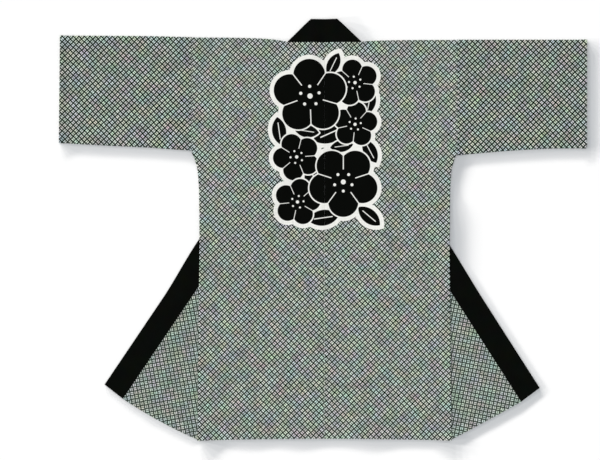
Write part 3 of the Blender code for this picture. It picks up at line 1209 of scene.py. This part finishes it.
class Nodes:
    """Adds nodes to a tree and joins them."""

    def __init__(self, tree):
        self.tree = tree

    def add(self, kind, **settings):
        """Add a node with some settings."""
        node = self.tree.nodes.new(kind)
        for name, value in settings.items():
            setattr(node, name, value)
        return node

    def plug(self, value, socket):
        """Join a socket to an input, or set the input to a value."""
        if isinstance(value, bpy.types.NodeSocket):
            self.tree.links.new(value, socket)
        else:
            socket.default_value = value

    def math(self, operation, *values, clamp=False):
        """Add a Math node and return its result."""
        node = self.add("ShaderNodeMath", operation=operation, use_clamp=clamp)
        for value, socket in zip(values, node.inputs):
            self.plug(value, socket)
        return node.outputs[0]

    def vector(self, operation, *values, result="Vector"):
        """Add a Vector Math node and return its result."""
        node = self.add("ShaderNodeVectorMath", operation=operation)
        for value, socket in zip(values, node.inputs):
            self.plug(value, socket)
        return node.outputs[result]

    def blend(self, share, first, second, blend_type="MIX"):
        """Add a Mix node for colours and return its result."""
        node = self.add("ShaderNodeMix", data_type="RGBA", blend_type=blend_type)
        self.plug(share, node.inputs[0])
        self.plug(first, node.inputs[6])
        self.plug(second, node.inputs[7])
        return node.outputs[2]

    def parts(self, vector):
        """Return the three parts of a vector."""
        node = self.add("ShaderNodeSeparateXYZ")
        self.plug(vector, node.inputs[0])
        return node.outputs

    def noise(self, place, scale, detail):
        """Add a noise texture on flat cloth and return its outputs."""
        node = self.add("ShaderNodeTexNoise", noise_dimensions="2D")
        self.plug(place, node.inputs["Vector"])
        self.plug(scale, node.inputs["Scale"])
        self.plug(detail, node.inputs["Detail"])
        return node.outputs

    def join(self, first, second):
        """Return a vector made of two parts, with 0 as its third."""
        node = self.add("ShaderNodeCombineXYZ")
        self.plug(first, node.inputs[0])
        self.plug(second, node.inputs[1])
        return node.outputs[0]

    def shade(self, value, swing):
        """Return a value from 0 to 1 as a shade that swings evenly round 1."""
        return self.math("MULTIPLY_ADD", value, swing, 1.0 - swing / 2)

    def bump(self, height, relief, shader):
        """Give a shader a relief from a height."""
        node = self.add("ShaderNodeBump")
        node.inputs["Strength"].default_value = relief.strength
        node.inputs["Distance"].default_value = relief.depth
        self.plug(height, node.inputs["Height"])
        self.plug(node.outputs[0], shader.inputs["Normal"])

    def below(self, value, limit, softness):
        """Return 1 where a value is below a limit, with a soft edge."""
        node = self.add("ShaderNodeMapRange", interpolation_type="SMOOTHSTEP")
        low = self.math("SUBTRACT", limit, softness)
        high = self.math("ADD", limit, softness)
        for name, item in zip(("Value", "From Min", "From Max"), (value, low, high)):
            self.plug(item, node.inputs[name])
        node.inputs["To Min"].default_value = 1.0
        node.inputs["To Max"].default_value = 0.0
        return node.outputs["Result"]

    def group(self, tree, **values):
        """Place a node group and return its outputs."""
        node = self.add("ShaderNodeGroup", node_tree=tree)
        for name, value in values.items():
            self.plug(value, node.inputs[name.replace("_", " ").title()])
        return node.outputs


def new_group(name, inputs, outputs):
    """Return the nodes, inputs and outputs of a new shader node group."""
    tree = bpy.data.node_groups.new(name, "ShaderNodeTree")
    for label, kind in inputs:
        tree.interface.new_socket(name=label, in_out="INPUT", socket_type=kind)
    for label, kind in outputs:
        tree.interface.new_socket(name=label, in_out="OUTPUT", socket_type=kind)
    nodes = Nodes(tree)
    inlet = nodes.add("NodeGroupInput")
    outlet = nodes.add("NodeGroupOutput")
    return nodes, inlet.outputs, outlet.inputs


VECTOR = "NodeSocketVector"
FLOAT = "NodeSocketFloat"
COLOUR = "NodeSocketColor"
SHAPE_INPUTS = [("Place", VECTOR), ("Centre", VECTOR), ("Radius", FLOAT), ("Turn", FLOAT)]
SHAPE_OUTPUTS = [("Distance", FLOAT), ("Ink", FLOAT)]


def basket_group():
    """Return the group of the basket pattern: cells turned by 45 degrees with two bars each.

    It puts out where the bars are and how light each cell is.
    """
    name = "basket pattern"
    if name in bpy.data.node_groups:
        return bpy.data.node_groups[name]
    nodes, inlet, outlet = new_group(
        name,
        [
            ("Place", VECTOR),
            ("Cell", FLOAT),
            ("Bar Length", FLOAT),
            ("Bar Width", FLOAT),
            ("Middle Line", FLOAT),
        ],
        [("Bar", FLOAT), ("Shade", FLOAT)],
    )
    wobble = nodes.noise(inlet["Place"], CELL_WOBBLE_SCALE, FINE_DETAIL)["Color"]
    shift = nodes.vector("SUBTRACT", wobble, (0.5, 0.5, 0.5))
    shift = nodes.vector("MULTIPLY", shift, (CELL_WOBBLE, CELL_WOBBLE, 0.0))
    place = nodes.vector("ADD", inlet["Place"], shift)
    parts = nodes.parts(place)
    per_cell = nodes.math("DIVIDE", math.sqrt(0.5), inlet["Cell"])
    first = nodes.math("ADD", parts[0], parts[1])
    second = nodes.math("SUBTRACT", parts[1], parts[0])
    first = nodes.math("MULTIPLY", first, per_cell)
    second = nodes.math("MULTIPLY", second, per_cell)
    column = nodes.math("FLOOR", first)
    row = nodes.math("FLOOR", second)
    odd = nodes.math("PINGPONG", nodes.math("ADD", column, row), 1.0)
    in_first = nodes.math("SUBTRACT", nodes.math("SUBTRACT", first, column), 0.5)
    in_second = nodes.math("SUBTRACT", nodes.math("SUBTRACT", second, row), 0.5)
    swing = nodes.math("MULTIPLY", nodes.math("SUBTRACT", in_second, in_first), odd)
    across = nodes.math("ABSOLUTE", nodes.math("ADD", in_first, swing))
    along = nodes.math("ABSOLUTE", nodes.math("SUBTRACT", in_second, swing))
    spacing = nodes.math("ADD", inlet["Bar Width"], inlet["Middle Line"])
    axis = nodes.math("MULTIPLY", spacing, 0.5)
    off_middle = nodes.math("ABSOLUTE", nodes.math("SUBTRACT", across, axis))
    half_width = nodes.math("MULTIPLY_ADD", inlet["Bar Width"], 0.5, -BAR_CORNER)
    half_length = nodes.math("MULTIPLY_ADD", inlet["Bar Length"], 0.5, -BAR_CORNER)
    past_width = nodes.math("MAXIMUM", nodes.math("SUBTRACT", off_middle, half_width), 0.0)
    past_length = nodes.math("MAXIMUM", nodes.math("SUBTRACT", along, half_length), 0.0)
    squares = [nodes.math("POWER", past, 2.0) for past in (past_width, past_length)]
    away = nodes.math("SQRT", nodes.math("ADD", *squares))
    nodes.plug(nodes.below(away, BAR_CORNER, BAR_SOFTNESS), outlet["Bar"])
    chance = nodes.add("ShaderNodeTexWhiteNoise", noise_dimensions="2D")
    nodes.plug(nodes.join(column, row), chance.inputs["Vector"])
    nodes.plug(nodes.shade(chance.outputs["Value"], CELL_SHADE), outlet["Shade"])
    return nodes.tree


def weave_group():
    """Return the group of a plain weave: its height and the shade of its uneven threads."""
    name = "plain weave"
    if name in bpy.data.node_groups:
        return bpy.data.node_groups[name]
    nodes, inlet, outlet = new_group(
        name,
        [("Place", VECTOR), ("Pitch", FLOAT)],
        [("Height", FLOAT), ("Shade", FLOAT)],
    )
    parts = nodes.parts(inlet["Place"])
    turns = nodes.math("DIVIDE", math.pi, inlet["Pitch"])
    warp = nodes.math("SINE", nodes.math("MULTIPLY", parts[0], turns))
    weft = nodes.math("SINE", nodes.math("MULTIPLY", parts[1], turns))
    crossing = nodes.math("MULTIPLY", warp, weft)
    slubs = []
    for stretch in ((*SLUB_SCALES, 1.0), (*reversed(SLUB_SCALES), 1.0)):
        stretched = nodes.vector("MULTIPLY", inlet["Place"], stretch)
        slubs.append(nodes.noise(stretched, 1.0, FINE_DETAIL)["Fac"])
    slub = nodes.math("MULTIPLY", nodes.math("ADD", *slubs), 0.5)
    slub_height = nodes.math("MULTIPLY", slub, SLUB_HEIGHT)
    height = nodes.math("MULTIPLY_ADD", crossing, CROSSING_HEIGHT, slub_height)
    nodes.plug(height, outlet["Height"])
    nodes.plug(nodes.shade(slub, SLUB_SHADE), outlet["Shade"])
    return nodes.tree


def tint_group():
    """Return the group of the dye's soft mottling: a colour near white that varies."""
    name = "uneven dye"
    if name in bpy.data.node_groups:
        return bpy.data.node_groups[name]
    nodes, inlet, outlet = new_group(
        name,
        [("Place", VECTOR), ("Scale", FLOAT), ("Amount", FLOAT)],
        [("Tint", COLOUR)],
    )
    dye = nodes.noise(inlet["Place"], inlet["Scale"], DYE_DETAIL)["Color"]
    swing = nodes.vector("SUBTRACT", dye, (0.5, 0.5, 0.5))
    reach = nodes.math("MULTIPLY", inlet["Amount"], 2.0)
    tint = nodes.vector("MULTIPLY_ADD", swing, reach, (1.0, 1.0, 1.0))
    nodes.plug(tint, outlet["Tint"])
    return nodes.tree


def blossom_group():
    """Return the group of one printed blossom with five round petals."""
    name = "printed blossom"
    if name in bpy.data.node_groups:
        return bpy.data.node_groups[name]
    nodes, inlet, outlet = new_group(name, SHAPE_INPUTS, SHAPE_OUTPUTS)
    away = nodes.vector("SUBTRACT", inlet["Place"], inlet["Centre"])
    parts = nodes.parts(away)
    far = nodes.vector("LENGTH", away, result="Value")
    angle = nodes.math("ARCTAN2", parts[1], parts[0])
    angle = nodes.math("ADD", angle, inlet["Turn"])
    fold = nodes.math("PINGPONG", angle, math.pi / PETALS)
    size = inlet["Radius"]
    out = nodes.math("MULTIPLY", far, nodes.math("COSINE", fold))
    aside = nodes.math("MULTIPLY", far, nodes.math("SINE", fold))

    def round_shape(centre_share, radius_share):
        """Return the distance from a circle on a petal's axis."""
        along = nodes.math("SUBTRACT", out, nodes.math("MULTIPLY", size, centre_share))
        gap = nodes.vector("LENGTH", nodes.join(along, aside), result="Value")
        return nodes.math("SUBTRACT", gap, nodes.math("MULTIPLY", size, radius_share))

    petal = round_shape(PETAL_CENTRE, PETAL_RADIUS)
    core = nodes.math("SUBTRACT", far, nodes.math("MULTIPLY", size, CORE_RADIUS))
    distance = nodes.math("MINIMUM", petal, core)
    nodes.plug(distance, outlet["Distance"])

    light = nodes.below(round_shape(STAMEN_CENTRE, STAMEN_RADIUS), 0.0, PRINT_SOFTNESS)
    middle = nodes.math("SUBTRACT", far, nodes.math("MULTIPLY", size, EYE_RADIUS))
    light = nodes.math("MAXIMUM", light, nodes.below(middle, 0.0, PRINT_SOFTNESS))
    valley = nodes.math("SUBTRACT", math.pi / PETALS, fold)
    valley = nodes.math("MULTIPLY", far, nodes.math("SINE", valley))
    slit = nodes.below(valley, nodes.math("MULTIPLY", size, SLIT_WIDTH), PRINT_SOFTNESS)
    past_core = nodes.math("GREATER_THAN", far, nodes.math("MULTIPLY", size, SLIT_START))
    slit = nodes.math("MULTIPLY", slit, past_core)
    light = nodes.math("MAXIMUM", light, slit)
    inside = nodes.below(distance, 0.0, PRINT_SOFTNESS)
    nodes.plug(nodes.math("SUBTRACT", inside, light, clamp=True), outlet["Ink"])
    return nodes.tree


def leaf_group():
    """Return the group of one printed leaf with a light vein."""
    name = "printed leaf"
    if name in bpy.data.node_groups:
        return bpy.data.node_groups[name]
    nodes, inlet, outlet = new_group(name, SHAPE_INPUTS, SHAPE_OUTPUTS)
    bow = (1.0 + LEAF_WIDTH ** 2) / (2.0 * LEAF_WIDTH)
    away = nodes.vector("SUBTRACT", inlet["Place"], inlet["Centre"])
    turned = nodes.add("ShaderNodeVectorRotate", rotation_type="Z_AXIS")
    nodes.plug(away, turned.inputs["Vector"])
    nodes.plug(inlet["Turn"], turned.inputs["Angle"])
    parts = nodes.parts(turned.outputs[0])
    size = inlet["Radius"]
    aside = nodes.math("ABSOLUTE", parts[1])
    from_middle = nodes.math("MULTIPLY_ADD", size, bow - LEAF_WIDTH, aside)
    distance = nodes.vector("LENGTH", nodes.join(parts[0], from_middle), result="Value")
    distance = nodes.math("SUBTRACT", distance, nodes.math("MULTIPLY", size, bow))
    nodes.plug(distance, outlet["Distance"])
    along = nodes.math("ABSOLUTE", parts[0])
    vein = nodes.below(aside, nodes.math("MULTIPLY", size, VEIN_WIDTH), PRINT_SOFTNESS)
    reach = nodes.math("LESS_THAN", along, nodes.math("MULTIPLY", size, VEIN_REACH))
    vein = nodes.math("MULTIPLY", vein, reach)
    inside = nodes.below(distance, 0.0, PRINT_SOFTNESS)
    nodes.plug(nodes.math("SUBTRACT", inside, vein, clamp=True), outlet["Ink"])
    return nodes.tree


def print_group(settings):
    """Return the group of the whole print: its ink and the light ground that edges it."""
    name = "back print"
    if name in bpy.data.node_groups:
        return bpy.data.node_groups[name]
    nodes, inlet, outlet = new_group(
        name,
        [("Place", VECTOR), ("Keyline", FLOAT), ("Parting", FLOAT)],
        [("Ink", FLOAT), ("Ground", FLOAT)],
    )
    shapes = [(leaf_group(), item.x, item.y, item.reach, item.turn) for item in LEAVES]
    shapes += [(blossom_group(), item.x, item.y, item.radius, item.turn) for item in BLOSSOMS]
    ink = 0.0
    nearest = 1.0
    for tree, x, y, radius, turn in shapes:
        centre = Vector(PRINT_CENTRE) + Vector((x, y)) * settings.scale
        shape = nodes.group(
            tree,
            place=inlet["Place"],
            centre=(*(centre * MM), 0.0),
            radius=radius * settings.scale * MM,
            turn=-math.radians(turn),
        )
        covered = nodes.below(shape["Distance"], inlet["Parting"], PRINT_SOFTNESS)
        kept = nodes.math("MULTIPLY", ink, nodes.math("SUBTRACT", 1.0, covered))
        ink = nodes.math("MAXIMUM", shape["Ink"], kept)
        nearest = nodes.math("MINIMUM", nearest, shape["Distance"])
    nodes.plug(ink, outlet["Ink"])
    nodes.plug(nodes.below(nearest, inlet["Keyline"], PRINT_SOFTNESS), outlet["Ground"])
    return nodes.tree


def new_material(name, finish):
    """Return a new material, its nodes and its shader with the fixed values set."""
    material = bpy.data.materials.new(name)
    material.use_nodes = True
    shader = material.node_tree.nodes["Principled BSDF"]
    for socket, value in zip(FINISH_SOCKETS, finish):
        shader.inputs[socket].default_value = value
    return material, Nodes(material.node_tree), shader


def coat_material(name, settings, phase, bar_share, print_settings=None):
    """Return the patterned cloth, whose pattern starts at its own place on each piece."""
    material, nodes, shader = new_material(name, COAT_FINISH)
    cloth = nodes.add("ShaderNodeUVMap", uv_map="cloth").outputs[0]
    start = (phase[0] * MM, phase[1] * MM, 0.0)
    moved = nodes.vector("ADD", cloth, start)
    basket = nodes.group(
        basket_group(),
        place=moved,
        cell=settings.cell,
        bar_length=settings.bar_length * bar_share,
        bar_width=settings.bar_width * bar_share,
        middle_line=settings.middle_line,
    )
    weave = nodes.group(weave_group(), place=cloth, pitch=COAT_YARN_PITCH)
    tint = nodes.group(tint_group(), place=moved, scale=DYE_SCALE, amount=settings.mottling)
    bars = nodes.blend(1.0, tuple(settings.bar_colour), tint["Tint"], "MULTIPLY")
    bars = nodes.blend(1.0, bars, basket["Shade"], "MULTIPLY")
    colour = nodes.blend(basket["Bar"], tuple(settings.line_colour), bars)
    if print_settings:
        # The fronts, past the neck on the flat cloth, are blended a little towards one flat colour,
        # which makes them darker and less contrasting than the back
        past_neck = nodes.math("GREATER_THAN", nodes.parts(cloth)[1], NECK_HEIGHT * MM)
        dulling = nodes.math("MULTIPLY", past_neck, settings.front_dulling)
        colour = nodes.blend(dulling, colour, FRONT_FLAT_COLOUR)
        mark = nodes.group(
            print_group(print_settings),
            place=cloth,
            keyline=print_settings.keyline,
            parting=print_settings.parting,
        )
        colour = nodes.blend(mark["Ground"], colour, tuple(print_settings.edge_colour))
        colour = nodes.blend(mark["Ink"], colour, tuple(print_settings.ink_colour))
    colour = nodes.blend(1.0, colour, weave["Shade"], "MULTIPLY")
    nodes.plug(colour, shader.inputs["Base Color"])
    nodes.bump(weave["Height"], COAT_RELIEF, shader)
    return material


def band_material(settings):
    """Return the black cotton of the collar band."""
    material, nodes, shader = new_material("black cotton band", BAND_FINISH)
    cloth = nodes.add("ShaderNodeUVMap", uv_map="cloth").outputs[0]
    weave = nodes.group(weave_group(), place=cloth, pitch=BAND_YARN_PITCH)
    tint = nodes.group(tint_group(), place=cloth, scale=DYE_SCALE, amount=BAND_MOTTLING)
    colour = nodes.blend(1.0, tuple(settings.colour), tint["Tint"], "MULTIPLY")
    colour = nodes.blend(1.0, colour, weave["Shade"], "MULTIPLY")
    nodes.plug(colour, shader.inputs["Base Color"])
    nodes.bump(weave["Height"], BAND_RELIEF, shader)
    return material


def thread_material(name, colour):
    """Return a matt cotton thread with a fine twist."""
    material, nodes, shader = new_material(name, THREAD_FINISH)
    place = nodes.add("ShaderNodeTexCoord").outputs["Object"]
    twist = nodes.add("ShaderNodeTexWave", bands_direction="DIAGONAL")
    twist.inputs["Scale"].default_value = TWIST_SCALE
    twist.inputs["Distortion"].default_value = 1.0
    nodes.plug(place, twist.inputs["Vector"])
    shade = nodes.shade(twist.outputs["Fac"], TWIST_SHADE)
    nodes.plug(nodes.blend(1.0, tuple(colour), shade, "MULTIPLY"), shader.inputs["Base Color"])
    nodes.bump(twist.outputs["Fac"], THREAD_RELIEF, shader)
    return material


def dress(piece, node):
    """Hang a finished cloth piece on the root and hide the model's part that it takes the place of.
    """
    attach(piece, "root")
    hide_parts(node)


class HAPPI_OT_body_panels(bpy.types.Operator):
    """Make the two body panels, each from its back hem over the shoulder to its front hem."""

    bl_idname = "happi.body_panels"
    bl_label = "Body panels"

    def execute(self, context):
        """Build both panels."""
        cloth = context.scene.happi_cloth
        for sizes in HALVES:
            half = Half(sizes, cloth)
            name = f"body_panel_{sizes.name}"
            label = f"basket cloth, {sizes.name} body"
            material = coat_material(label, cloth, sizes.body_phase, 1.0, context.scene.happi_print)
            piece = body_panel(half).finish(f"{name}_cloth", material, CLOTH_ROUNDING)
            dress(piece, name)
        return {"FINISHED"}


class HAPPI_OT_sleeves(bpy.types.Operator):
    """Make the two sleeves as flat tubes."""

    bl_idname = "happi.sleeves"
    bl_label = "Sleeves"

    def execute(self, context):
        """Build both sleeves."""
        cloth = context.scene.happi_cloth
        for sizes in HALVES:
            half = Half(sizes, cloth)
            name = f"sleeve_{sizes.name}"
            label = f"basket cloth, {sizes.name} sleeve"
            # The sleeves' bars are a little narrower and shorter than the body's, which makes the
            # sleeves a little darker than the body
            material = coat_material(label, cloth, sizes.sleeve_phase, sizes.sleeve_bars)
            piece = sleeve(half).finish(f"{name}_cloth", material, CLOTH_ROUNDING)
            dress(piece, name)
        return {"FINISHED"}


class HAPPI_OT_collar(bpy.types.Operator):
    """Make the collar band, which goes round the neck from hem to hem."""

    bl_idname = "happi.collar"
    bl_label = "Collar band"

    def execute(self, context):
        """Build the band."""
        surface = Surface()
        for sizes in HALVES:
            collar_half(surface, Half(sizes, context.scene.happi_cloth))
        material = band_material(context.scene.happi_band)
        piece = surface.finish("collar_band", material, BAND_ROUNDING)
        dress(piece, "collar")
        return {"FINISHED"}


class HAPPI_OT_stitches(bpy.types.Operator):
    """Sew the rows of stitches over the hems, the cuffs and the collar band."""

    bl_idname = "happi.stitches"
    bl_label = "Stitches"

    def execute(self, context):
        """Build the stitches."""
        settings = context.scene.happi_stitch
        halves = [Half(sizes, context.scene.happi_cloth) for sizes in HALVES]
        thread = thread_material("grey cotton thread", settings.hem_thread)
        lines = [line(half) for half in halves for line in (back_hem_line, flap_hem_line)]
        self.sew("stitches_hems", lines, thread, "coat_cloth", settings)
        lines = [cuff_line(half) for half in halves]
        self.sew("stitches_cuffs", lines, thread, "coat_cloth", settings)
        thread = thread_material("black cotton thread", settings.band_thread)
        lines = [line(half) for half in halves for line in (neck_line, turned_band_line)]
        self.sew("stitches_band", lines, thread, "band_cloth", settings)
        return {"FINISHED"}

    @staticmethod
    def sew(name, lines, thread, slot, settings):
        """Make one piece with a row of stitches along each line."""
        shape = bmesh.new()
        for line in lines:
            add_stitches(shape, line, settings)
        piece = add_piece(name, shape, thread, "coat")
        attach(piece, "root")


class HAPPI_OT_stage(bpy.types.Operator):
    """Make the floor, the lights and the camera."""

    bl_idname = "happi.stage"
    bl_label = "Floor, lights and camera"

    def execute(self, context):
        """Build the stage."""
        settings = context.scene.happi_stage
        self.add_floor(settings)
        self.add_lights(context, settings)
        self.add_camera(context, settings)
        context.scene.view_settings.view_transform = "Standard"
        context.scene.cycles.denoising_prefilter = "NONE"
        return {"FINISHED"}

    @staticmethod
    def add_floor(settings):
        """Add a wide pale floor under the coat."""
        shape = bmesh.new()
        bmesh.ops.create_grid(
            shape, x_segments=FLOOR_CELLS, y_segments=FLOOR_CELLS, size=FLOOR_REACH
        )
        bmesh.ops.translate(shape, verts=shape.verts, vec=(0.0, 0.0, -FLOOR_DROP))
        material, _, shader = new_material("pale floor", FLOOR_FINISH)
        shader.inputs["Base Color"].default_value = settings.floor_colour
        floor = add_piece("floor", shape, material, "stage")

    @staticmethod
    def add_lamp(context, name, light, elevation, turn, spread, lit):
        """Add a far lamp that lights only the objects of a collection. Turn is as in the table."""
        lamp = bpy.data.lights.new(name, "SUN")
        lamp.energy = light / math.sin(elevation)
        lamp.angle = spread
        lamp.color = WARM_LIGHT
        holder = bpy.data.objects.new(name, lamp)
        flat = math.cos(elevation)
        towards = Vector((-math.cos(turn) * flat, math.sin(turn) * flat, math.sin(elevation)))
        holder.rotation_euler = towards.to_track_quat("Z", "Y").to_euler()
        holder.light_linking.receiver_collection = lit
        context.scene.collection.objects.link(holder)

    def add_lights(self, context, settings):
        """Add the low lamps for the floor, a key lamp for the coat and an even cool fill."""
        for number, lamp in enumerate(LOW_LAMPS, 1):
            angles = [math.radians(angle) for angle in (lamp.rise, lamp.turn, lamp.spread)]
            light = settings.low_light * lamp.share
            self.add_lamp(context, f"low_lamp_{number}", light, *angles, collection("stage"))
        angles = (settings.key_elevation, math.radians(KEY_TURN), settings.key_spread)
        self.add_lamp(context, "key_lamp", settings.key_light, *angles, collection("coat"))
        world = bpy.data.worlds.new("soft white room")
        world.use_nodes = True
        background = world.node_tree.nodes["Background"]
        background.inputs["Color"].default_value = COOL_FILL
        background.inputs["Strength"].default_value = settings.fill_strength
        context.scene.world = world

    @staticmethod
    def add_camera(context, settings):
        """Add a camera that looks straight down."""
        camera = bpy.data.cameras.new("camera")
        camera.lens = settings.lens
        camera.sensor_width = SENSOR_WIDTH
        camera.sensor_fit = "HORIZONTAL"
        holder = bpy.data.objects.new("camera", camera)
        distance = settings.view_width * camera.lens / camera.sensor_width
        holder.location = (*VIEW_CENTRE, distance + COAT_MIDDLE_LEVEL)
        context.scene.collection.objects.link(holder)
        context.scene.camera = holder


class HAPPI_PT_sidebar(bpy.types.Panel):
    """Lists the coat's pieces and settings."""

    bl_idname = "HAPPI_PT_sidebar"
    bl_label = "Happi coat"
    bl_space_type = "VIEW_3D"
    bl_region_type = "UI"
    bl_category = "Happi coat"

    def draw(self, context):
        """Draw the buttons and the settings."""
        for operator in OPERATORS:
            self.layout.operator(operator.bl_idname)
        for name, kind in SETTINGS.items():
            box = self.layout.box()
            for prop in kind.__annotations__:
                box.prop(getattr(context.scene, name), prop)


OPERATORS = (
    HAPPI_OT_stage,
    HAPPI_OT_body_panels,
    HAPPI_OT_sleeves,
    HAPPI_OT_collar,
    HAPPI_OT_stitches,
)
SETTINGS = {
    "happi_cloth": HappiClothSettings,
    "happi_print": HappiPrintSettings,
    "happi_band": HappiBandSettings,
    "happi_stitch": HappiStitchSettings,
    "happi_stage": HappiStageSettings,
}


def register():
    """Register the classes and hang the settings on the scene."""
    for kind in (*SETTINGS.values(), *OPERATORS, HAPPI_PT_sidebar):
        bpy.utils.register_class(kind)
    for name, kind in SETTINGS.items():
        setattr(bpy.types.Scene, name, PointerProperty(type=kind))


def unregister():
    """Take the settings and the classes away."""
    for name in SETTINGS:
        delattr(bpy.types.Scene, name)
    for kind in (HAPPI_PT_sidebar, *reversed(OPERATORS), *SETTINGS.values()):
        bpy.utils.unregister_class(kind)


def main():
    """Build the coat and its stage."""
    register()
    bpy.ops.happi.stage()
    bpy.ops.happi.body_panels()
    bpy.ops.happi.sleeves()
    bpy.ops.happi.collar()
    bpy.ops.happi.stitches()


if __name__ == "__main__":
    main()
